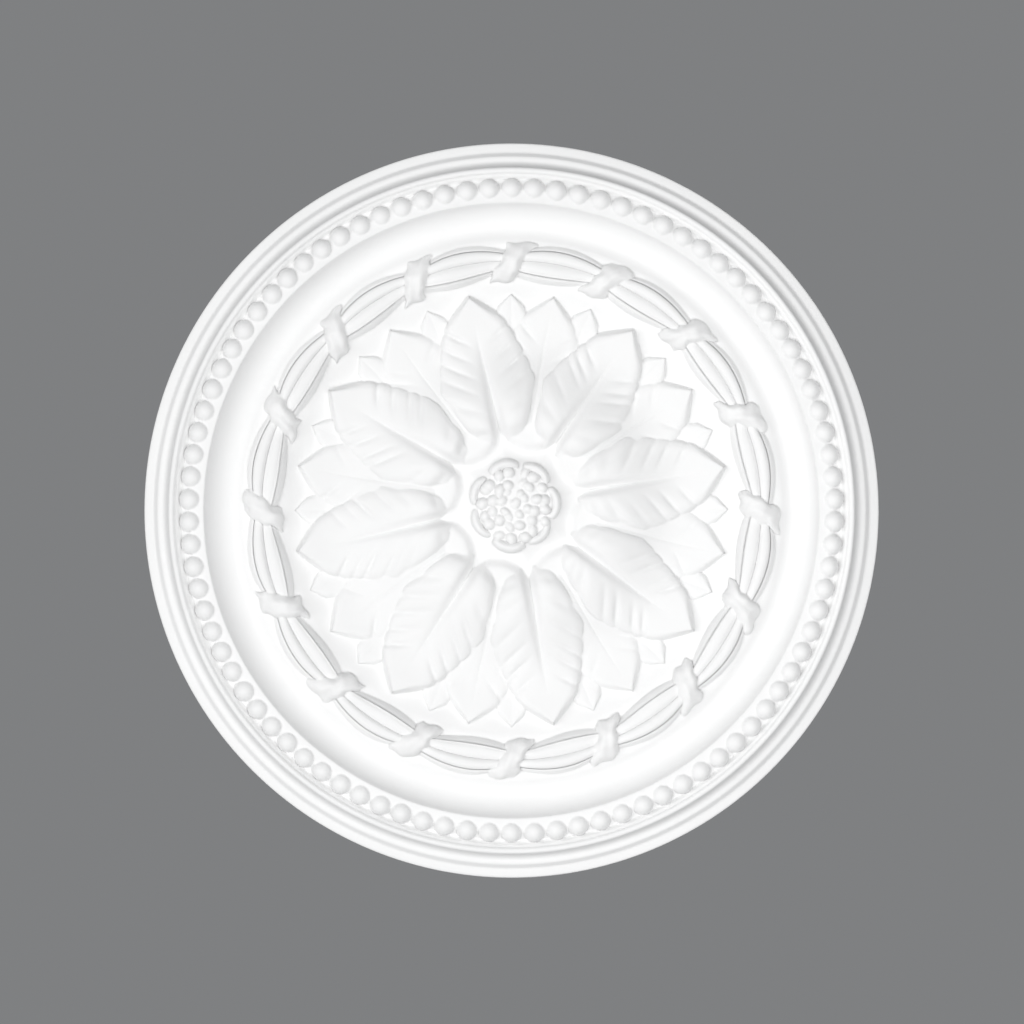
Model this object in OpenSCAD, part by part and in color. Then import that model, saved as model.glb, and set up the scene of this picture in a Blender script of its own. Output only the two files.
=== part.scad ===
// Ceiling rose: one round plaster casting that beds flat against a ceiling.
// It is shaped face up, as it lies on the bench with its back on z = 0, and turned over at the
// end, so the finished part hangs below its back, which stays the plane z = 0.
// Angles run anticlockwise from +X while the face is up. Heights are measured from the back.

/* [Overall] */
// Diameter over the outer edge
outer_d = 500; // [420:1:620]
// Height of the straight outer edge
edge_h = 10.5; // [6:0.5:14]

/* [Outer mouldings, from the edge inwards] */
// Width of the flat ledge round the edge
ledge_w = 7; // [4:0.5:12]
// Height of the lower step
lower_h = 18.5; // [15:0.5:21]
// Width of the lower step with its slope
lower_w = 6.5; // [5:0.5:12]
// Height of the ridge outside the beads
ridge_h = 25.5; // [24:0.5:29]
// Width of the ridge with its slope
ridge_w = 8; // [6:0.5:14]
// Width of the narrow flat between the ridge and the beads
flat_w = 2.5; // [1.5:0.5:6]

/* [Beads] */
// Diameter of a bead
bead_d = 14.6; // [9:0.1:18]
// Smallest gap between neighbouring beads
bead_gap = 0.64; // [0.3:0.01:3]
// Clearance from a bead to each wall of its channel
bead_side_gap = 0.3; // [0.2:0.1:1.5]
// Height of the channel floor that the beads sit in
channel_h = 21.5; // [19:0.5:23]

/* [Cove] */
// Width of the thin rim inside the beads
rim_w = 3; // [2:0.5:6]
// Height of that rim
rim_h = 26; // [24:0.5:30]
// Width of the cove
cove_w = 17.5; // [14:0.5:24]
// Height that the cove climbs to the rim
cove_rise = 11; // [7:0.5:13]
// Width of the slope between the cove and the garland
apron_w = 8.3; // [4:0.1:12]

/* [Garland] */
// Width of the garland band
garland_w = 27; // [22:0.5:34]
// Height of the reeds at their fullest
reed_h = 31; // [27:0.5:34]
// Height of the ribbon that binds them
ribbon_h = 33; // [29:0.5:36]
// Width of the ribbon, as an angle
ribbon_angle = 5.6; // [4:0.1:7]
// How far the ribbon leans from its inner to its outer end, as an angle
ribbon_lean = 3; // [0:0.1:4]
// Width of the plain ring between the leaves and the garland
ring_w = 8.3; // [4:0.1:16]

/* [Leaves] */
// Number of front leaves, with as many second leaves and twice as many last ones
front_leaves = 8; // [6:1:10]
// Radius where the leaves spring from the collar
root_r = 48; // [45:0.5:56]
// Height of the front leaves at their crest, near the root
crest_h = 32; // [29:0.5:35]
// Height of the front leaves where they dip, past the middle
dip_h = 19; // [17:0.5:24]
// Height of the front leaves at their tips
tip_h = 22; // [20:0.5:26]
// Step down from each layer of leaves to the next
layer_h = 2.6; // [1.8:0.1:3]
// Depth of the channel down a front leaf, at its root
channel_depth = 5; // [2:0.5:6]

/* [Boss] */
// Radius of the boss at its foot
boss_r = 38; // [34:0.5:42]
// Height of the collar at the foot of the boss
collar_h = 24; // [21:0.5:26]
// Height of the dome under the grains
boss_h = 33; // [30:0.5:36]
// Number of curled petals round the outside of the boss
petals = 7; // [6:1:8]
// Thickness of a petal
petal_d = 6.4; // [5:0.2:7]
// Diameter of the grains next to the petals
grain_d = 7; // [6:0.25:7]

/* [Hidden] */
$fn = 96;

outer_r = outer_d / 2;
ledge_r = outer_r - ledge_w;
lower_r = ledge_r - lower_w;
ridge_r = lower_r - ridge_w;
channel_out_r = ridge_r - flat_w;
channel_in_r = channel_out_r - bead_d - 2 * bead_side_gap;
bead_circle_r = (channel_out_r + channel_in_r) / 2;
bead_count = floor(180 / asin((bead_d + bead_gap) / 2 / bead_circle_r));
rim_r = channel_in_r - rim_w;
cove_r = rim_r - cove_w;
garland_out_r = cove_r - apron_w;
garland_in_r = garland_out_r - garland_w;
garland_r = (garland_out_r + garland_in_r) / 2;
tip_r = garland_in_r - ring_w;

lower_slope_w = 2;
ridge_slope_w = 3.5;
flat_h = ridge_h - 2;
cove_h = rim_h - cove_rise;
apron_h = cove_h + 3.5;
fillet_h = 17;
// Flat ground that the leaves lie on, and how far the collar runs in under their roots
ground_h = tip_h - 3 * layer_h - 0.8;
under_root_w = 8;
// Flat top of the core that the reeds lie round
core_h = reed_h - 8;
crest_r = root_r + 12;
dip_r = root_r + 0.7 * (tip_r - root_r);
petal_r = boss_r - 12;
petal_gap = 9;
// Rings of grains inside the petals
outer_grain_r = petal_r - petal_d / 2 - grain_d / 2 - 0.3;
inner_grain_r = outer_grain_r - grain_d;
top_grain_r = 3.8;
top_grain_d = 5;
// Relief solids start this high, inside the body
buried_h = 5;

// A smooth climb from 0 to 1 as t goes from 0 to 1.
function ease(t) = (1 - cos(180 * min(max(t, 0), 1))) / 2;
// The height at radius r of a line that eases through the stops [[r0, h0], [r1, h1], ...].
function line_h(r, stops, i = 0) =
    r <= stops[i][0] || i == len(stops) - 1 ? stops[i][1]
    : r >= stops[i + 1][0] ? line_h(r, stops, i + 1)
    : stops[i][1] + (stops[i + 1][1] - stops[i][1])
        * ease((r - stops[i][0]) / (stops[i + 1][0] - stops[i][0]));
// A point at radius r, angle a and height h.
function polar(r, a, h) = [r * cos(a), r * sin(a), h];
// n + 1 even steps from a to b.
function steps(a, b, n) = [for (i = [0 : n]) a + (b - a) * i / n];

// Height of the front leaves, which the layers below and the ground run parallel to.
leaf_line = [[boss_r, collar_h], [crest_r, crest_h], [dip_r, dip_h], [tip_r, tip_h]];
function leaf_h(r) = line_h(r, leaf_line);

// One raised shape: rows of surface points across it, closed down to a flat hidden foot. A tip
// point, where there is one, closes the last row.
module relief(rows, tip = []) {
    n = len(rows);
    m = len(rows[0]);
    pointed = len(tip) == 3;
    last = n * m;
    left = last + 1;
    right = left + n;
    tip_foot = right + n;
    tip_point = pointed ? tip : rows[n - 1][0];
    points = concat(
        [for (row = rows) for (p = row) p],
        [tip_point],
        [for (row = rows) [row[0].x, row[0].y, buried_h]],
        [for (row = rows) [row[m - 1].x, row[m - 1].y, buried_h]],
        [[tip_point.x, tip_point.y, buried_h]]
    );
    surface = [for (i = [0 : n - 2]) for (j = [0 : m - 2]) each [
        [i * m + j, i * m + j + 1, (i + 1) * m + j + 1],
        [i * m + j, (i + 1) * m + j + 1, (i + 1) * m + j]
    ]];
    sides = [for (i = [0 : n - 2]) each [
        [i * m, (i + 1) * m, left + i + 1],
        [i * m, left + i + 1, left + i],
        [i * m + m - 1, right + i, right + i + 1],
        [i * m + m - 1, right + i + 1, (i + 1) * m + m - 1],
        [left + i, left + i + 1, right + i + 1],
        [left + i, right + i + 1, right + i]
    ]];
    start = concat(
        [for (j = [0 : m - 2]) [left, j + 1, j]],
        [[left, right, m - 1]]
    );
    r0 = (n - 1) * m;
    blunt_end = concat(
        [for (j = [0 : m - 2]) [left + n - 1, r0 + j, r0 + j + 1]],
        [[left + n - 1, r0 + m - 1, right + n - 1]]
    );
    pointed_end = concat(
        [for (j = [0 : m - 2]) [r0 + j, r0 + j + 1, last]],
        [
            [r0, last, tip_foot],
            [r0, tip_foot, left + n - 1],
            [r0 + m - 1, right + n - 1, tip_foot],
            [r0 + m - 1, tip_foot, last],
            [left + n - 1, tip_foot, right + n - 1]
        ]
    );
    polyhedron(points = points, faces = concat(surface, sides, start, pointed ? pointed_end : blunt_end));
}

// The turned body: back, edge, mouldings, ground, collar and the dome of the boss.
module body() {
    cove_radius = (cove_w * cove_w + cove_rise * cove_rise) / (2 * cove_rise);
    cove_end = asin(cove_w / cove_radius);
    roll_r = (ridge_w - ridge_slope_w) / 2;
    dome = [for (t = steps(0, 1, 6)) [boss_r * t, collar_h + (boss_h - collar_h) * cos(90 * pow(t, 1.3))]];
    collar = [for (r = steps(boss_r + 1.5, root_r + under_root_w, 4)) [r, leaf_h(r) - channel_depth * ease((r - boss_r) / 12)]];
    cove = [for (a = steps(0, cove_end, 8)) [cove_r + cove_radius * sin(a), cove_h + cove_radius * (1 - cos(a))]];
    roll = [for (a = steps(180, 0, 6)) [ridge_r + roll_r + roll_r * cos(a), flat_h + 0.4 + roll_r * 0.8 * sin(a)]];
    rotate_extrude() polygon(concat(
        [[0, 0]],
        dome,
        collar,
        [
            [root_r + under_root_w + 1, ground_h],
            [tip_r + 2, ground_h],
            [garland_in_r, fillet_h],
            [garland_in_r + 5, core_h],
            [garland_out_r - 5, core_h],
            [garland_out_r, apron_h],
            [garland_out_r + 2, apron_h - 0.5]
        ],
        cove,
        [
            [rim_r + 0.6, rim_h + 0.4],
            [channel_in_r - 0.6, rim_h + 0.4],
            [channel_in_r, channel_h],
            [channel_out_r, channel_h],
            [channel_out_r + 0.2, flat_h]
        ],
        roll,
        [
            [lower_r, lower_h + 0.8],
            [lower_r + 1.2, lower_h],
            [ledge_r - lower_slope_w, lower_h - 0.5],
            [ledge_r, edge_h + 0.3],
            [outer_r - 0.8, edge_h],
            [outer_r, edge_h - 0.8],
            [outer_r, 0]
        ]
    ));
}

// A ring of beads, each rather more than half out of its channel.
module beads() {
    for (i = [0 : bead_count - 1]) {
        rotate([0, 0, (i + 0.5) * 360 / bead_count])
            translate([bead_circle_r, 0, channel_h + 0.5]) sphere(d = bead_d);
    }
}

// How far each half of a leaf swells above its general surface.
leaf_swell = 0.6;
// Half the angle between two front leaves.
half_sector = 180 / front_leaves;
// Slope of the two sides of every leaf's point.
point_slope = 1.07;
// How far along a leaf radius r is, from 0 at its root to 1 at its tip.
function along(r) = (r - root_r) / (tip_r - root_r);
// Half the width of a leaf at radius r, as an angle: full along the root, narrowing, then pointed.
function leaf_angle(r) =
    let (t = along(r))
    let (body = 1 - 3.5 * pow(max(0, 0.16 - t), 2) - 1.3 * pow(max(0, t - 0.37), 0.92))
    min(0.95 * half_sector * body, atan((tip_r - r) * point_slope / r));
// The channel down a front leaf: its half width as an angle, and its depth, both dying out.
function channel_angle(r) = 0.6 + 4.6 * pow(max(0, 1 - along(r) / 0.75), 1.3);
function channel_at(r) = channel_depth * pow(max(0, 1 - along(r) / 0.75), 1.2);

// A front leaf along +X: two swelling halves with a channel between them.
module front_leaf() {
    stops = [0, 0.05, along(crest_r), 0.25, 0.38, 0.52, 0.66, 0.77, 0.845, 0.9];
    rows = [for (t = stops)
        let (r = root_r + t * (tip_r - root_r), w = leaf_angle(r), c = channel_angle(r), top = leaf_h(r))
        let (lip = min(c, w * 0.4), root_drop = 3 * pow(1 - min(1, t / 0.14), 2))
        [for (side = [[-1, -1.6], [-0.8, -0.2], [-0.45, leaf_swell], [-lip / w, 0.2], [0, -channel_at(r)],
                      [lip / w, 0.2], [0.45, leaf_swell], [0.8, -0.2], [1, -1.6]])
            let (inside = abs(side[0]) <= 0.01)
            polar(r, side[0] * w, top + side[1] - (inside ? 0 : root_drop))]];
    relief(rows, [tip_r, 0, leaf_h(tip_r) - 1]);
}

// A second leaf, seen between two front leaves.
module second_leaf() {
    rows = [for (t = [0.02, along(crest_r), 0.3, 0.5, 0.7, 0.845])
        let (r = root_r + t * (tip_r - root_r), w = leaf_angle(r), top = leaf_h(r) - layer_h)
        [for (side = [[-1, -1.4], [-0.5, 0.4], [0, -0.3], [0.5, 0.4], [1, -1.4]])
            polar(r, side[0] * w, top + side[1])]];
    relief(rows, [tip_r, 0, leaf_h(tip_r) - layer_h - 1]);
}

// The tip of a last leaf, which shows only between the others.
module last_leaf() {
    shoulder_r = tip_r - 11.5;
    rows = [for (r = [shoulder_r - 14, shoulder_r])
        let (w = atan((tip_r - shoulder_r) * point_slope / r), top = leaf_h(r) - 2 * layer_h)
        [for (side = [[-1, -0.8], [0, 0.4], [1, -0.8]]) polar(r, side[0] * w, top + side[1])]];
    relief(rows, [tip_r, 0, leaf_h(tip_r) - 2 * layer_h - 0.6]);
}

// The rosette, brought to its full height: last leaves at every half sector, and second leaves
// between the front ones.
module leaves() {
    resize([0, 0, crest_h + leaf_swell - buried_h]) for (i = [0 : front_leaves - 1]) {
        sector = i * 360 / front_leaves;
        rotate([0, 0, sector + half_sector / 2]) front_leaf();
        rotate([0, 0, sector - half_sector / 2]) second_leaf();
        rotate([0, 0, sector]) last_leaf();
        rotate([0, 0, sector + half_sector]) last_leaf();
    }
}

// A bundle of reeds from one ribbon to the next: two full ones side by side and a thin one along
// each edge of the band. Both ends draw in and sink under the ribbons.
module reeds() {
    from = -ribbon_angle / 2 + 0.8;
    to = -half_sector + ribbon_angle / 2 - 0.8;
    // Across the band from its inner edge: place, and depth below the fullest height
    edge_depth = reed_h - fillet_h - 1;
    section = [[-1, edge_depth], [-0.84, 4.6], [-0.66, 5.4], [-0.5, 0.9], [-0.2, 0.4], [0.05, 3.6],
               [0.2, 0.6], [0.46, 1], [0.62, 5.2], [0.8, 5], [1, edge_depth]];
    rows = [for (s = steps(0, 1, 6))
        let (swell = sin(180 * pow(s, 0.85)), a = from + (to - from) * s)
        [for (p = section)
            polar(garland_r + p[0] * garland_w / 2 * (0.62 + 0.38 * swell),
                  a - ribbon_lean * p[0] / 2,
                  fillet_h + (reed_h - p[1] - fillet_h) * (0.62 + 0.38 * swell))]];
    relief(rows);
}

// The ribbon that binds the reeds: an arched band that leans with the garland.
module ribbon() {
    rows = [for (v = steps(-0.96, 0.96, 6))
        let (arch = sqrt(1 - v * v), mid = -ribbon_lean * v / 2)
        [for (side = [[1, -1.2], [0.7, 0], [-0.7, 0], [-1, -1.2]])
            polar(garland_r + v * garland_w / 2,
                  mid - side[0] * ribbon_angle / 2,
                  fillet_h + (ribbon_h - fillet_h) * arch + side[1])]];
    relief(rows);
}

// The garland, brought to its full height: a ring of reed bundles, bound at every half sector.
module garland() {
    resize([0, 0, ribbon_h - buried_h]) for (i = [0 : 2 * front_leaves - 1]) {
        rotate([0, 0, i * half_sector]) {
            reeds();
            ribbon();
        }
    }
}

// A curled petal on the side of the boss.
module petal() {
    sweep = 360 / petals - petal_gap;
    rotate([0, 0, -sweep / 2])
        rotate_extrude(angle = sweep) translate([petal_r, boss_h - 5.2]) circle(d = petal_d);
}

// The boss: a ring of curled petals round rings of grains that climb to the middle.
module boss() {
    for (i = [0 : petals - 1]) {
        rotate([0, 0, i * 360 / petals]) petal();
    }
    // Each ring of grains: radius, number, height below the top, and diameter
    for (ring = [[outer_grain_r, 2 * petals, 2.6, grain_d],
                 [inner_grain_r, petals + 2, 1, grain_d - 0.6],
                 [top_grain_r, 4, 0, top_grain_d]]) {
        for (i = [0 : ring[1] - 1]) {
            rotate([0, 0, (i + 0.5) * 360 / ring[1]])
                translate([ring[0], 0, boss_h - ring[2]]) sphere(d = ring[3]);
        }
    }
}

// The whole casting, turned over so that it hangs from its back.
module ceiling_rose() {
    color([0.95, 0.95, 0.94]) rotate([180, 0, 0]) {
        body();
        beads();
        leaves();
        garland();
        boss();
    }
}

ceiling_rose();
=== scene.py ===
import bpy
import numpy as np
from mathutils import Matrix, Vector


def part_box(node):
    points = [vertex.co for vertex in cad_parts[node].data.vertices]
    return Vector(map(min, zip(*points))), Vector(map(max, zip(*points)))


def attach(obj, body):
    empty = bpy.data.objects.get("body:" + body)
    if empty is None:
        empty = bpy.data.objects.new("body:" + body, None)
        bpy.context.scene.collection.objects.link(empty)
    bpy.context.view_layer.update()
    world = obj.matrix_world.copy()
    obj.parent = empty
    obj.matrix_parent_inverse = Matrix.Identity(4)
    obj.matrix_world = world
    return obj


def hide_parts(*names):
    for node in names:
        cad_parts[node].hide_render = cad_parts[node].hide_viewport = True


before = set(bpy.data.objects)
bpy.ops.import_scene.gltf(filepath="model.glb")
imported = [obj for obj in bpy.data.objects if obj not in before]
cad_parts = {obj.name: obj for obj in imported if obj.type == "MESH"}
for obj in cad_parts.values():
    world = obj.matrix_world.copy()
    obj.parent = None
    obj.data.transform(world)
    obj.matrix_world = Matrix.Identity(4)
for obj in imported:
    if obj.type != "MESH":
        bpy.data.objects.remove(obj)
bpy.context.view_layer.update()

# --- The turned disc ---------------------------------------------------------------------------
# The rose was modelled face up on a disc of plaster that was run round under a cut template, so
# its edge, ridge, bead channel, rim and cove are true and smooth. Sizes here are in millimetres
# and heights are measured from the back; placed() turns the work over so that it hangs.

node_low, node_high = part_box("ceiling_rose")
outer_r = (node_high[0] - node_low[0]) * 500
hand = np.random.default_rng(20)


def placed(points):
    """Bench points (x, y, height) in millimetres, turned over about X and put in metres."""
    return np.stack([points[..., 0], -points[..., 1], -points[..., 2]], axis=-1) * 0.001


def turn(radius, degrees):
    """X and Y of a point at that radius and angle."""
    angle = np.radians(degrees)
    return radius * np.cos(angle), radius * np.sin(angle)


def eased(x, stops, heights):
    """Climbs from each stop to the next along half a cosine wave, and is level outside them."""
    i = np.clip(np.searchsorted(stops, x) - 1, 0, len(stops) - 2)
    share = np.clip((x - np.take(stops, i)) / (np.take(stops, i + 1) - np.take(stops, i)), 0, 1)
    low, high = np.take(heights, i), np.take(heights, i + 1)
    return low + (high - low) * (1 - np.cos(np.pi * share)) / 2


def softened(line, size):
    """Each inner corner gives way to three points: one before, one pulled in, and one after."""
    line = np.array(line, dtype=float)
    before, corner, after = line[:-2], line[1:-1], line[2:]
    back, on = before - corner, after - corner
    back_length = np.linalg.norm(back, axis=1, keepdims=True)
    on_length = np.linalg.norm(on, axis=1, keepdims=True)
    first = corner + back / back_length * np.minimum(size, 0.4 * back_length)
    last = corner + on / on_length * np.minimum(size, 0.4 * on_length)
    middle = (first + last + 2 * corner) / 4
    inner = np.stack([first, middle, last], axis=1).reshape(-1, 2)
    return np.concatenate([line[:1], inner, line[-1:]])


def arc(centre_r, centre_h, radius, start, end, count):
    """Points round part of a circle in the plane of the profile, angles in degrees."""
    along, up = turn(radius, np.linspace(start, end, count))
    return np.stack([centre_r + along, centre_h + up], axis=1)


def solid(name, points, faces):
    """A mesh object from bench points and faces of three or four corners."""
    mesh = bpy.data.meshes.new(name)
    mesh.from_pydata(placed(points).tolist(), [], faces)
    mesh.validate()
    made = bpy.data.objects.new(name, mesh)
    bpy.context.scene.collection.objects.link(made)
    return made


ledge_r = outer_r - 7
lower_r = ledge_r - 6.5
ridge_r = lower_r - 8
channel_out_r = ridge_r - 2.5
channel_in_r = channel_out_r - 15.2
rim_r = channel_in_r - 3
cove_w = 17.5
cove_r = rim_r - cove_w
garland_out_r = cove_r - 8.3
garland_half_w = 13.5
garland_in_r = garland_out_r - 2 * garland_half_w
garland_r = garland_out_r - garland_half_w
tip_r = garland_in_r - 8.3
root_r = 48

# The profile, from beside the collar out to the edge and over onto the back. The cove is the arc
# that rises cove_rise in cove_w.
field_h = 13.4
cove_rise = 11
cove_radius = (cove_w ** 2 + cove_rise ** 2) / (2 * cove_rise)
cove_end = np.degrees(np.arcsin(cove_w / cove_radius))
ridge_top = arc(ridge_r + 1.6, 23.9, 2.25, 170, 12, 9)
mouldings = np.concatenate([
    softened([[70, field_h], [tip_r - 6, field_h], [garland_in_r - 1, 17.6], [garland_r, 18.4],
              [garland_out_r + 0.5, 18.6], [garland_out_r + 5, 16], [cove_r, 15]], 2.6),
    arc(cove_r, 15 + cove_radius, cove_radius, -90, cove_end - 90, 13)[1:],
    softened([[rim_r + 0.2, 26.3], [channel_in_r - 1, 26.2], [channel_in_r + 5.5, 25.4],
              [channel_out_r - 1.8, 19.4], [channel_out_r + 0.3, 23.5], [ridge_r - 1.2, 23.7]], 1),
    ridge_top,
    softened([[lower_r - 1.8, 19.6], [lower_r + 0.2, 18.3], [ledge_r - 2.8, 18],
              [ledge_r + 0.2, 14], [outer_r - 0.3, 13.4], [outer_r, 0.6], [outer_r - 0.6, 0]], 0.8),
])
around = 240
theta = np.arange(around) * 360 / around
# How far the heart of the rosette slipped when it was set
slip_x, slip_y = 2.0, 3.8
# Front leaves stand two half sectors apart, and the first is half of one round from +X
half_sector = 22.5
front_leaf_at = half_sector / 2
# The crown under the grains, the ground round it, and where that ground dips below the leaves
crown_r = 27
ground_h = 23.8
dips_from_r, dips_to_r = 57, 68


def slipped(x, y):
    """The heart of the rosette was set a little off the middle: full slip at the collar, none
    past the middle of the leaves."""
    share = 1 - eased(np.hypot(x, y), [42, 125], [0, 1])
    return x + slip_x * share, y + slip_y * share


def off_channel(degrees):
    """How far round from the nearest front leaf's channel: 0 on it, 1 half way to the next one."""
    turned = (degrees - front_leaf_at + half_sector) % (2 * half_sector)
    return np.abs(turned - half_sector) / half_sector


def star(degrees):
    """Radius of the foot of the boss: it runs out to a corner at the channel of every front leaf."""
    return 35.5 + 1.5 * np.cos(np.radians(degrees + 20)) + 8 * (1 - off_channel(degrees)) ** 1.7


def collar(radius, degrees):
    """Height round the boss: a crown under the grains, a skirt that falls to the star, then a bank
    that rises to the leaves and falls again, out of sight under them."""
    foot = star(degrees)
    skirt = ground_h + 5.8 * np.clip((foot - radius) / (foot - 25), 0, 1) ** 1.4
    rise = 0.4 + 4.2 * eased(off_channel(degrees), [0.08, 0.45], [0, 1])
    bank = ground_h + rise * eased(radius - foot, [0, 8], [0, 1])
    level = np.where(radius < foot, skirt, bank)
    under = eased(radius, [dips_from_r, dips_to_r], [0, 1])
    crown = 28.5 + 4.5 * np.cos(np.radians(90 * np.clip(radius / crown_r, 0, 1) ** 1.5))
    return np.where(radius < crown_r, crown, level * (1 - under) + field_h * under)


middle_r = np.concatenate([np.linspace(2.5, crown_r, 10),
                           np.linspace(crown_r + 1.5, dips_to_r, 23)])
middle_r = np.repeat(middle_r[:, None], around, axis=1)
middle_h = collar(middle_r, theta[None, :])
ring_r = np.repeat(mouldings[:, :1], around, axis=1)
ring_h = np.repeat(mouldings[:, 1:], around, axis=1)
# The template wandered a little on its pivot and the coat was brushed on by hand
wander = 0.12 * np.sin(np.radians(3 * theta + 40)) + 0.08 * np.sin(np.radians(7 * theta))
raised = np.clip(ring_h / 10, 0, 1)
ring_h = ring_h + wander[None, :] * raised
# The back was struck off with a straight edge that left faint rings
back_r = np.linspace(outer_r - 4, 4, 8)
back_h = 0.22 + 0.2 * np.sin(back_r * 0.9) * np.sin(back_r * 0.13)
back_r = np.repeat(back_r[:, None], around, axis=1)
back_h = np.repeat(back_h[:, None], around, axis=1)
disc_r = np.concatenate([middle_r, ring_r, back_r])
disc_h = np.concatenate([middle_h, ring_h, back_h])
disc_x, disc_y = turn(disc_r, theta[None, :])
disc_x[:len(middle_r)], disc_y[:len(middle_r)] = slipped(disc_x[:len(middle_r)],
                                                         disc_y[:len(middle_r)])
rings = len(disc_r)
disc_points = np.concatenate([
    np.stack([disc_x, disc_y, disc_h], axis=-1).reshape(-1, 3),
    [[slip_x, slip_y, 33], [0, 0, 0.2]],
])
ring, step = np.meshgrid(np.arange(rings - 1), np.arange(around), indexing="ij")
after = (step + 1) % around
bands = np.stack([ring * around + step, (ring + 1) * around + step,
                  (ring + 1) * around + after, ring * around + after], axis=-1).reshape(-1, 4)
spoke = np.arange(around)
spoke_after = (spoke + 1) % around
top_fan = np.stack([np.full(around, rings * around), spoke, spoke_after], axis=-1)
last_ring = (rings - 1) * around
back_fan = np.stack([np.full(around, rings * around + 1), last_ring + spoke_after,
                     last_ring + spoke], axis=-1)
rose = solid("ceiling_rose_cast", disc_points,
             bands.tolist() + top_fan.tolist() + back_fan.tolist())


# --- The beads ---------------------------------------------------------------------------------
# Ninety beads were pressed in a mould and bedded one by one in the channel, so they stand a
# little unevenly and no two are quite the same size.

def raised_shape(top, foot, spread):
    """A closed solid under a grid of surface points: its rim drops to a level foot, spread
    outwards by that much, and the underside is the same grid laid flat."""
    rows, columns = top.shape[:2]
    edge = np.concatenate([
        np.arange(columns - 1),
        np.arange(rows - 1) * columns + columns - 1,
        (rows - 1) * columns + np.arange(columns - 1, 0, -1),
        np.arange(rows - 1, 0, -1) * columns,
    ])
    surface = top.reshape(-1, 3)
    under = surface.copy()
    under[:, 2] = foot
    ahead = np.roll(surface[edge], -1, axis=0) - np.roll(surface[edge], 1, axis=0)
    outward = np.stack([ahead[:, 1], -ahead[:, 0]], axis=1)
    outward /= np.linalg.norm(outward, axis=1, keepdims=True) + 1e-9
    corners = surface[edge, :2]
    area = np.sum(corners[:, 0] * np.roll(corners[:, 1], -1)
                  - corners[:, 1] * np.roll(corners[:, 0], -1))
    under[edge, :2] += outward * spread * np.sign(area)
    count = rows * columns
    row, column = np.meshgrid(np.arange(rows - 1), np.arange(columns - 1), indexing="ij")
    first = row * columns + column
    faces = np.stack([first, first + 1, first + columns + 1, first + columns], axis=-1)
    faces = faces.reshape(-1, 4)
    edge_after = np.roll(edge, -1)
    walls = np.stack([edge, edge + count, edge_after + count, edge_after], axis=-1)
    if area < 0:
        faces, walls = faces[:, ::-1], walls[:, ::-1]
    return np.concatenate([surface, under]), np.concatenate([faces, faces[:, ::-1] + count, walls])


def added(base, shapes):
    """The rose with more closed solids joined on, as one skin. Solids in one call don't touch."""
    starts = np.cumsum([0] + [len(points) for points, faces in shapes])
    points = np.concatenate([points for points, faces in shapes])
    faces = np.concatenate([faces + start for (points_, faces), start in zip(shapes, starts)])
    more = solid("more", points, faces.tolist())
    join = base.modifiers.new("join", "BOOLEAN")
    join.operation = "UNION"
    join.solver = "MANIFOLD"
    join.object = more
    evaluated = base.evaluated_get(bpy.context.evaluated_depsgraph_get())
    joined = bpy.data.meshes.new_from_object(evaluated)
    base.modifiers.clear()
    old, base.data = base.data, joined
    bpy.data.meshes.remove(old)
    bpy.data.meshes.remove(more.data)


def dome(radius, height, foot, cells):
    """A half ball as a square grid bent round: the grid's rings become circles, spaced evenly in
    angle from the crown to the rim."""
    u, v = np.meshgrid(np.linspace(-1, 1, cells + 1), np.linspace(-1, 1, cells + 1), indexing="ij")
    x, y = u * np.sqrt(1 - v * v / 2), v * np.sqrt(1 - u * u / 2)
    out = np.hypot(x, y)
    bent = np.sin(out * np.pi / 2) / np.maximum(out, 1e-9)
    top = np.stack([x * bent * radius, y * bent * radius,
                    height + radius * np.cos(out * np.pi / 2)], axis=-1)
    return raised_shape(top, foot, 0)


def moved(shape, x, y, degrees=0):
    """A shape turned about the upright axis, then shifted."""
    points, faces = shape
    angle = np.radians(degrees)
    c, s = np.cos(angle), np.sin(angle)
    turned = np.stack([points[:, 0] * c - points[:, 1] * s + x,
                       points[:, 0] * s + points[:, 1] * c + y, points[:, 2]], axis=1)
    return turned, faces


# Beads and grains go down to buried_h, inside the plaster
buried_h = 12
bead_r = 7.4
bead_middle_h = 21.9
bead_count = 90
bead_circle_r = (channel_out_r + channel_in_r) / 2 - 0.9
beads = []
for i in range(bead_count):
    size, lift, slip = hand.normal(0, 1, 3)
    x, y = turn(bead_circle_r + 0.1 * slip, (i + 0.5) * 360 / bead_count + 0.03 * slip)
    bead = dome(bead_r + 0.06 * size, bead_middle_h + 0.12 * lift, buried_h, 10)
    beads.append(moved(bead, x, y))
added(rose, beads)


# --- The leaves --------------------------------------------------------------------------------
# Three lapped layers were cut from rolled plaster and tooled while green: eight front leaves with
# a deep channel, eight second leaves between them, and sixteen last ones of which the points show.
# The veins were drawn with a round-nosed tool from the edge in towards the root.

# Leaves, garland and petals go down to deep_foot_h, inside the plaster
deep_foot_h = 9
leaf_stops = [38, 60, 117, tip_r]
leaf_heights = [24, 32, 19, 22]
leaf_span = tip_r - root_r


def leaf_width(radius, fullness):
    """Half a leaf's width: full near the root, narrowing past the middle, then a straight-sided
    point of about ninety degrees."""
    t = (radius - root_r) / leaf_span
    body = 1 - 3.5 * np.clip(0.16 - t, 0, None) ** 2 - 1.3 * np.clip(t - 0.37, 0, None) ** 0.92
    sides = radius * np.sin(np.radians(fullness * half_sector * np.clip(body, 0.05, None)))
    return np.minimum(sides, (tip_r - radius) * 1.07 + 0.25)


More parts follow.
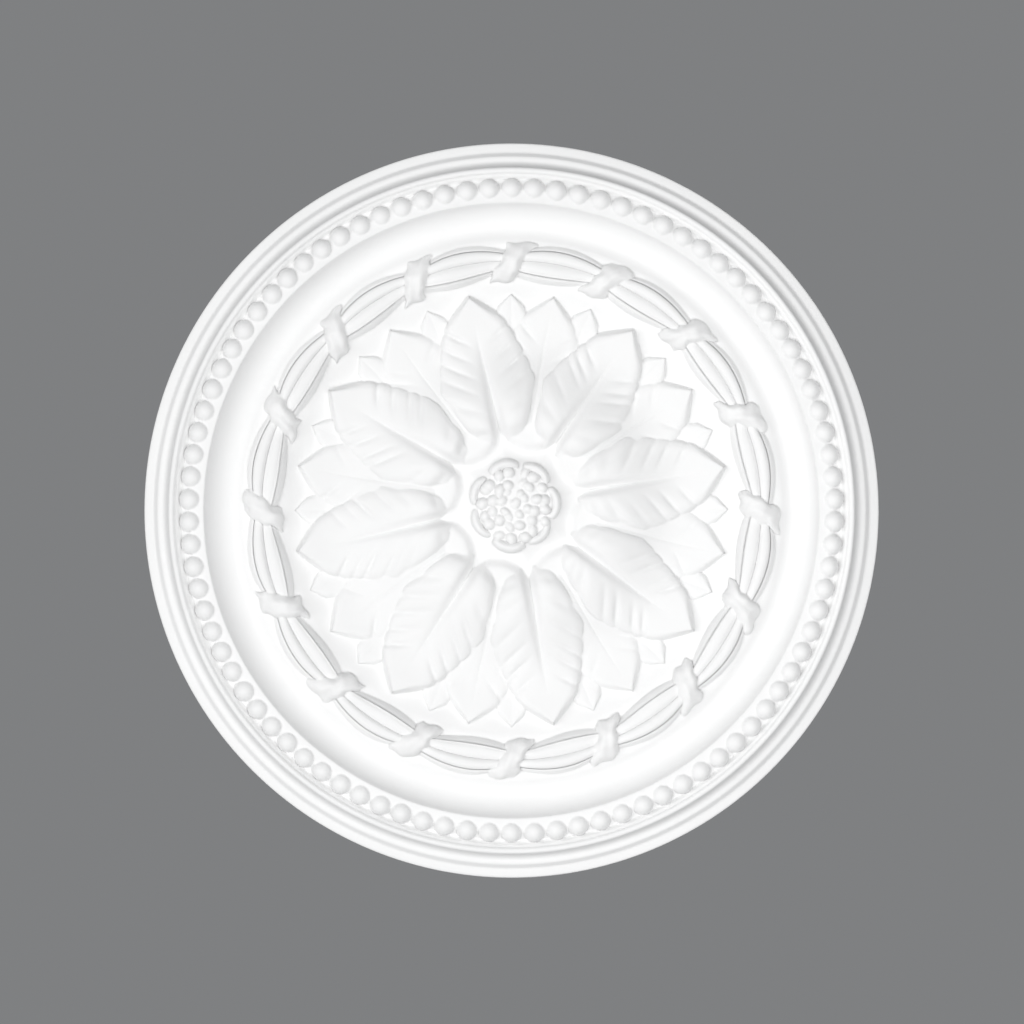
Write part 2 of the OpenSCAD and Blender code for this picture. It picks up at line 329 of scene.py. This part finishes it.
def leaf(level, fullness, veins, vein_depth, channel, pillow, start, slope, shift, spread, count):
    """One leaf along +X. Its rows run from the midrib slantwise out to the edge, as the veins do,
    and a row lies along the bottom of every vein. Its height is the rosette's own line, plus a
    pillow on each half, less the channel and the veins."""
    from_r = root_r + start * leaf_span
    fine = np.linspace(from_r, tip_r, 800)
    width = leaf_width(fine, fullness)
    # Where each vein crosses the midrib and how fast the rows slant
    vein_s = np.array(veins)
    spots = (vein_s[:, None] + np.array([-4.4, -2.8, -1.6, -0.7, 0, 0.7, 1.6, 2.8, 4.4])
             / leaf_span).ravel()
    s = np.unique(np.concatenate([[0, 0.012, 0.03, 0.06], np.linspace(0.09, 0.96, count),
                                  [0.975, 0.988, 0.996, 1], spots]).clip(0, 1).round(5))
    s = s[np.concatenate([[True], np.diff(s) > 0.0035])]
    s[-1] = 1
    half = np.array([0, 0.025, 0.06, 0.11, 0.17, 0.24, 0.32, 0.42, 0.52, 0.62, 0.72, 0.8, 0.87,
                     0.92, 0.955, 0.98, 1])
    half = half if count > 12 else half[::2]
    u = np.concatenate([-half[:0:-1], half])
    axis_r = from_r + s * (tip_r - from_r)
    rows = []
    for side in (-1, 1):
        k = (slope + 0.07 * side) * eased(s, [0, 0.3], [0, 1])
        reach = fine[None, :] - axis_r[:, None] - k[:, None] * width[None, :]
        crossing = np.where(reach[:, -1] >= 0, np.argmax(reach >= 0, axis=1), len(fine) - 1)
        edge_x = fine[crossing]
        edge_x[-1] = tip_r
        rows.append((edge_x, leaf_width(edge_x, fullness)))
    take = np.abs(u)[None, :]
    left = u[None, :] < 0
    edge_x = np.where(left, rows[0][0][:, None], rows[1][0][:, None])
    edge_w = np.where(left, rows[0][1][:, None], rows[1][1][:, None])
    # Each vein: deepest towards the edge, fading to nothing before the channel
    off = (s[:, None] - vein_s[None, :]) * leaf_span
    cut = np.exp(-(off / 2.1) ** 2)
    depth = vein_depth * (1 + 0.25 * hand.normal(0, 1, (2, len(veins))))
    fade = np.clip((take - 0.2) / 0.45, 0, 1) ** 1.3 * (1 - 0.5 * np.clip((take - 0.75) / 0.25, 0, 1))
    carved = np.where(left, (cut * depth[0]).sum(1)[:, None], (cut * depth[1]).sum(1)[:, None])
    edge_w = np.maximum(edge_w - 0.35 * carved * (take > 0.9), 0.12)
    x = axis_r[:, None] + take * (edge_x - axis_r[:, None])
    y = np.sign(u)[None, :] * take * edge_w
    radius = np.hypot(x, y)
    t = (radius - root_r) / leaf_span
    swell = pillow * np.clip(1.05 - t / 0.8, 0, 1) * np.sin(np.pi * take ** 0.9) ** 1.4
    edge_roll = 1.9 * np.clip((take - 0.8) / 0.2, 0, 1) ** 2
    die = np.clip(1 - t / channel[1], 0, 1)
    channel_w = radius * np.sin(np.radians(0.5 + channel[2] * die ** 1.3))
    valley = channel[0] * die ** channel[3] * np.clip(1 - np.abs(y) / channel_w, 0, 1)
    nose = 2.6 * np.clip(1 - (t - start) / 0.09, 0, 1) ** 2
    height = eased(radius, leaf_stops, leaf_heights) - level + swell - edge_roll - valley
    height = height - carved * fade - nose + shift
    return raised_shape(np.stack([x, y, height], axis=-1), deep_foot_h, spread)


def slip_in(shape):
    """The shape's points moved with the slipped heart of the rosette."""
    points, faces = shape
    x, y = slipped(points[:, 0], points[:, 1])
    return np.stack([x, y, points[:, 2]], axis=1), faces


front_channel = (5.2, 0.75, 5.4, 1.15)
second_channel = (0.8, 0.85, 0.7, 0.5)
front_leaves, second_leaves, last_leaves, more_last_leaves = [], [], [], []
for i in range(8):
    jitter = hand.normal(0, 1, 9)
    veins = np.array([0.07, 0.17, 0.28, 0.4, 0.52, 0.64]) + 0.012 * jitter[:6]
    front_leaves.append(slip_in(moved(
        leaf(0, 0.985 + 0.01 * jitter[5], veins, 1.35, front_channel, 3.0, -0.05, 0.7,
             0.3 * jitter[6], 4.5, 22),
        0, 0, 2 * half_sector * i + front_leaf_at + 0.5 * jitter[7])))
    veins = np.array([0.24, 0.37, 0.5, 0.63]) + 0.012 * jitter[:4]
    second_leaves.append(slip_in(moved(
        leaf(2.8, 0.95 + 0.012 * jitter[5], veins, 0.8, second_channel, 1.4, 0, 0.8,
             0.2 * jitter[8], 4.5, 16),
        0, 0, 2 * half_sector * i - front_leaf_at + 0.5 * jitter[6])))
for i in range(16):
    jitter = hand.normal(0, 1, 2)
    place = last_leaves if i % 2 else more_last_leaves
    place.append(moved(
        leaf(5.2, 0.62, [0.5], 0.2, (0.5, 1.6, 0.5, 0.4), 0.8, 0.6, 1.0, 0.2 * jitter[0], 2.5,
             8),
        0, 0, half_sector * i + 0.4 * jitter[1]))
added(rose, last_leaves)
added(rose, more_last_leaves)
added(rose, second_leaves[::2])
added(rose, second_leaves[1::2])
added(rose, front_leaves[::2])
added(rose, front_leaves[1::2])


# --- The garland -------------------------------------------------------------------------------
# A rope of reeds was built up on the fillet and bound with sixteen ribbons. Each bundle is two full
# reeds between two thin ones; it starts blunt under one ribbon and is drawn in under the next.

reed_edges = [-1, -0.68, 0.05, 0.66, 1]
reed_tops = [4.4, 7.2, 7.7, 4.7]
reed_curve = np.sin(np.radians([-90, -74, -56, -34, -12, 12, 34, 56, 74]))
reed_v = np.concatenate([(low + high) / 2 + (high - low) / 2 * reed_curve
                         for low, high in zip(reed_edges[:-1], reed_edges[1:])] + [[1.0]])


def bundle(jitter):
    """A bundle of reeds, clockwise from its knot: across it, each reed is half an oval, and along
    it, width and height swell and draw in again, later on the far side."""
    s = np.linspace(0, 1, 20)[:, None]
    v = reed_v[None, :]
    which = np.clip(np.searchsorted(reed_edges, reed_v, side="right") - 1, 0, 3)
    low, high = np.take(reed_edges, which), np.take(reed_edges, which + 1)
    across = np.clip(1 - ((reed_v - (low + high) / 2) / ((high - low) / 2)) ** 2, 0, 1) ** 0.5
    flank = np.sin(np.pi / 2 * np.clip((1 - np.abs(reed_v)) / 0.33, 0, 1))
    section = np.where(np.abs(reed_v) > 0.67, flank, 0.64 + 0.36 * across)
    oval = (np.take(reed_tops, which) * section)[None, :]
    swell = np.sin(np.pi * np.clip(0.04 + 0.92 * s, 0, 1) ** 0.85)
    width = garland_half_w * (0.42 + 0.56 * swell + 0.01 * jitter[0])
    tall = 0.5 + 0.5 * swell ** 0.7
    degrees = -0.6 - s * 21.3 - 3 * v / 2
    wave = 0.18 * np.sin(s * 9 + jitter[1] * 2 + v * 3)
    x, y = turn(garland_r + v * width + 0.2 * jitter[2], degrees)
    height = 18 + oval * tall + wave + 0.2 * jitter[3]
    return raised_shape(np.stack([x, y, height], axis=-1), deep_foot_h, 0.8)


def ribbon(jitter):
    """The binding over a knot: an arch across the garland, leaning with it, gathered by folds along
    it and lumps and dents across it, with an uneven outline."""
    v = np.sin(np.radians(np.linspace(-88, 88, 22)))[:, None]
    w = np.sin(np.radians(np.linspace(-90, 90, 18)))[None, :]
    arch = (1 - (v * 0.985) ** 2) ** 0.55
    waist = 1 + 0.1 * np.sin(4 * v + 2 * jitter[0]) + 0.1 * np.sin(9 * v + 3 * jitter[1])
    reach = garland_half_w * (0.98 + 0.05 * np.sin(4 * w + 2 * jitter[2]))
    degrees = -5 * v / 2 - w * 2.9 * waist
    x, y = turn(garland_r + v * reach, degrees)
    folds = np.sin(7 * w + 2.2 * v + jitter[3]) + 0.8 * np.sin(11 * v + 3 * w + 2 * jitter[4])
    lumps = np.sin(15 * w + jitter[1]) * np.sin(13 * v + 2 * jitter[0])
    roll = 4.6 * np.abs(w) ** 3
    height = 18 + 9.6 * arch + (0.45 * folds + 0.4 * lumps - roll) * arch ** 0.5
    return raised_shape(np.stack([x, y, height], axis=-1), deep_foot_h, 1.2)


bundles, ribbons = [], []
for i in range(16):
    jitter = hand.normal(0, 1, 5)
    bundles.append(moved(bundle(jitter), 0, 0, half_sector * i))
    ribbons.append(moved(ribbon(jitter), 0, 0, half_sector * i))
added(rose, bundles[::2])
added(rose, bundles[1::2])
added(rose, ribbons)


# --- The boss ----------------------------------------------------------------------------------
# Seven curled petals stand round rings of little grains, like the heart of a daisy. They were
# modelled freehand, so no two petals are alike and the grains are set unevenly in their rings.

def petal(jitter):
    """A curled petal round part of the boss: a rounded rim that hugs the grains, highest in its
    middle and drawn in and down at its ends."""
    s = np.linspace(-1, 1, 17)[:, None]
    w = np.linspace(-1, 1, 11)[None, :]
    rim_at = 28.6 - 2.2 * s * s + 0.4 * jitter[0]
    radius = rim_at + w * (3.3 + 0.3 * jitter[2]) * (1 - 0.25 * s * s)
    degrees = s * (22.5 + jitter[1])
    curl = np.sqrt(np.clip(1 - (w * 0.98) ** 2, 0, 1)) * (1 - 0.45 * s ** 4)
    x, y = turn(radius, degrees)
    height = 26.2 + (6.4 + 0.5 * jitter[2]) * curl + 0.5 * w * (w < 0)
    return raised_shape(np.stack([x, y, height], axis=-1), deep_foot_h, 0)


boss_x, boss_y = slipped(0, 0)
petals = []
for i in range(7):
    jitter = hand.normal(0, 1, 3)
    petals.append(moved(petal(jitter), boss_x, boss_y, i * 360 / 7 + 4 + jitter[0]))
added(rose, petals[::3])
added(rose, petals[1::3])
added(rose, petals[2::3])
# Each ring of grains: its radius, how many, their radius and the height of their middles
grain_rings = ((21.6, 17, 4.1, 29.8), (14.6, 12, 4, 30.7), (8, 8, 3.8, 31.2), (2.4, 3, 3.6, 31.6))
boss_top = 35.3
for ring_at, count, size, height in grain_rings:
    grains = []
    for i in range(count):
        jitter = hand.normal(0, 1, 4)
        x, y = turn(ring_at + 0.8 * jitter[0], (i + 0.5) * 360 / count + 60 / ring_at * jitter[1])
        grain_r = size * (1 + 0.06 * jitter[2])
        points, faces = dome(grain_r, min(height + 0.4 * jitter[3], boss_top - grain_r), buried_h, 8)
        lump = points * [1 + 0.12 * jitter[3], 1 - 0.1 * jitter[3], 1]
        grains.append(moved((lump, faces), x + boss_x, y + boss_y, 60 * jitter[2]))
    added(rose, grains[::2])
    added(rose, grains[1::2])

rose.data.shade_smooth()
rose.data.set_sharp_from_angle(angle=np.radians(42))


# --- The finish --------------------------------------------------------------------------------
# Cast plaster under several brushed coats of matt white: faint brush drag and pinholes, and a
# little unevenness in the sheen.

class Wire:
    """A socket in a material's nodes; arithmetic on it adds Math nodes."""

    def __init__(self, nodes, socket):
        self.nodes, self.socket = nodes, socket

    def maths(self, operation, *others):
        values = {i: value for i, value in enumerate(others, start=1)}
        return self.nodes.add("ShaderNodeMath", {"operation": operation}, {0: self, **values})

    def __add__(self, other):
        return self.maths("ADD", other)

    def __mul__(self, other):
        return self.maths("MULTIPLY", other)

    __radd__ = __add__
    __rmul__ = __mul__


class Nodes:
    """A material's node tree, built by name."""

    def __init__(self, material):
        material.use_nodes = True
        self.tree = material.node_tree

    def add(self, kind, settings=None, values=None, output=0):
        """A node of that type: its settings are set first, then its sockets take values or wires."""
        node = self.tree.nodes.new(kind)
        for name, value in (settings or {}).items():
            setattr(node, name, value)
        for key, value in (values or {}).items():
            if isinstance(value, Wire):
                self.tree.links.new(value.socket, node.inputs[key])
            else:
                node.inputs[key].default_value = value
        return Wire(self, node.outputs[output])


paint = bpy.data.materials.new("painted_plaster")
paint_nodes = Nodes(paint)
shader = paint_nodes.tree.nodes["Principled BSDF"]
place = paint_nodes.add("ShaderNodeTexCoord", output="Object")
mottle = paint_nodes.add("ShaderNodeTexNoise", None,
                         {"Vector": place, "Scale": 14, "Detail": 4, "Roughness": 0.6})
drag = paint_nodes.add("ShaderNodeTexNoise", None,
                       {"Vector": place, "Scale": 260, "Detail": 3, "Roughness": 0.55})
grain = paint_nodes.add("ShaderNodeTexNoise", None,
                        {"Vector": place, "Scale": 1400, "Detail": 2, "Roughness": 0.6})
pits = paint_nodes.add("ShaderNodeTexVoronoi", None, {"Vector": place, "Scale": 170})
pit = paint_nodes.add("ShaderNodeMapRange", None, {"Value": pits, 1: 0.02, 2: 0.09, 3: 0.0, 4: 1.0})
tint = paint_nodes.add("ShaderNodeMix", {"data_type": "RGBA"},
                       {0: mottle, 6: (0.81, 0.81, 0.808, 1), 7: (0.865, 0.865, 0.863, 1)}, output=2)
paint_nodes.tree.links.new(tint.socket, shader.inputs["Base Color"])
sheen = mottle * 0.12 + drag * 0.1 + 0.5
paint_nodes.tree.links.new(sheen.socket, shader.inputs["Roughness"])
relief = drag * 0.7 + grain * 0.35 + pit * 0.25
arris = paint_nodes.add("ShaderNodeBevel", {"samples": 6}, {"Radius": 0.002})
bump = paint_nodes.add("ShaderNodeBump", None,
                       {"Height": relief, "Strength": 0.35, "Distance": 0.0004, "Normal": arris})
paint_nodes.tree.links.new(bump.socket, shader.inputs["Normal"])
rose.data.materials.clear()
rose.data.materials.append(paint)

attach(rose, "root")
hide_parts("ceiling_rose")


# --- The studio --------------------------------------------------------------------------------
# The rose hangs over a plain pale floor in soft light from one side, and the camera looks
# straight up at its face.

floor_mesh = bpy.data.meshes.new("studio_floor")
floor_half, floor_z = 90, -3
floor_mesh.from_pydata([(-floor_half, -floor_half, floor_z), (floor_half, -floor_half, floor_z),
                        (floor_half, floor_half, floor_z), (-floor_half, floor_half, floor_z)], [],
                       [(0, 1, 2, 3)])
floor = bpy.data.objects.new("studio_floor", floor_mesh)
bpy.context.scene.collection.objects.link(floor)
floor_paint = bpy.data.materials.new("studio_floor")
floor_nodes = Nodes(floor_paint)
floor_shader = floor_nodes.tree.nodes["Principled BSDF"]
floor_shader.inputs["Base Color"].default_value = (0.88, 0.88, 0.88, 1)
floor_shader.inputs["Roughness"].default_value = 0.9
floor_mesh.materials.append(floor_paint)
floor.visible_shadow = False

world = bpy.data.worlds.new("studio")
world.use_nodes = True
world.node_tree.nodes["Background"].inputs["Color"].default_value = (0.212, 0.216, 0.221, 1)
world.node_tree.nodes["Background"].inputs["Strength"].default_value = 1.0
bpy.context.scene.world = world


def lamp(name, place, size, power):
    """A square soft lamp that faces the middle of the rose."""
    light = bpy.data.lights.new(name, "AREA")
    light.size, light.energy = size, power
    made = bpy.data.objects.new(name, light)
    bpy.context.scene.collection.objects.link(made)
    aim = np.array(place) / -np.linalg.norm(place)
    side = np.cross(aim, [0, 1, 0.01])
    side /= np.linalg.norm(side)
    up = np.cross(side, aim)
    made.matrix_world = Matrix([*np.column_stack([side, up, -aim, place]), [0, 0, 0, 1]])
    made.visible_camera = False
    return made


key_slant = 44
sun = bpy.data.lights.new("key", "SUN")
sun.energy, sun.angle = 1.25, np.radians(40)
key = bpy.data.objects.new("key", sun)
bpy.context.scene.collection.objects.link(key)
key.rotation_euler = (0, np.radians(key_slant - 180), 0)
lamp("fill", (0.35, 0.35, -2.3), 2.2, 43)
lamp("back", (0.8, -1.2, 2.2), 1.5, 25)

camera_data = bpy.data.cameras.new("camera")
camera_data.lens = 100
camera_data.sensor_width = 36
camera = bpy.data.objects.new("camera", camera_data)
bpy.context.scene.collection.objects.link(camera)
share_of_frame = 0.7162
distance = outer_r * 0.001 / (share_of_frame * camera_data.sensor_width / 2 / camera_data.lens)
camera.matrix_world = Matrix([[1, 0, 0, 0.0003], [0, -1, 0, 0.001], [0, 0, -1, -0.008 - distance],
                              [0, 0, 0, 1]])
bpy.context.scene.camera = camera
bpy.context.scene.view_settings.view_transform = "Standard"
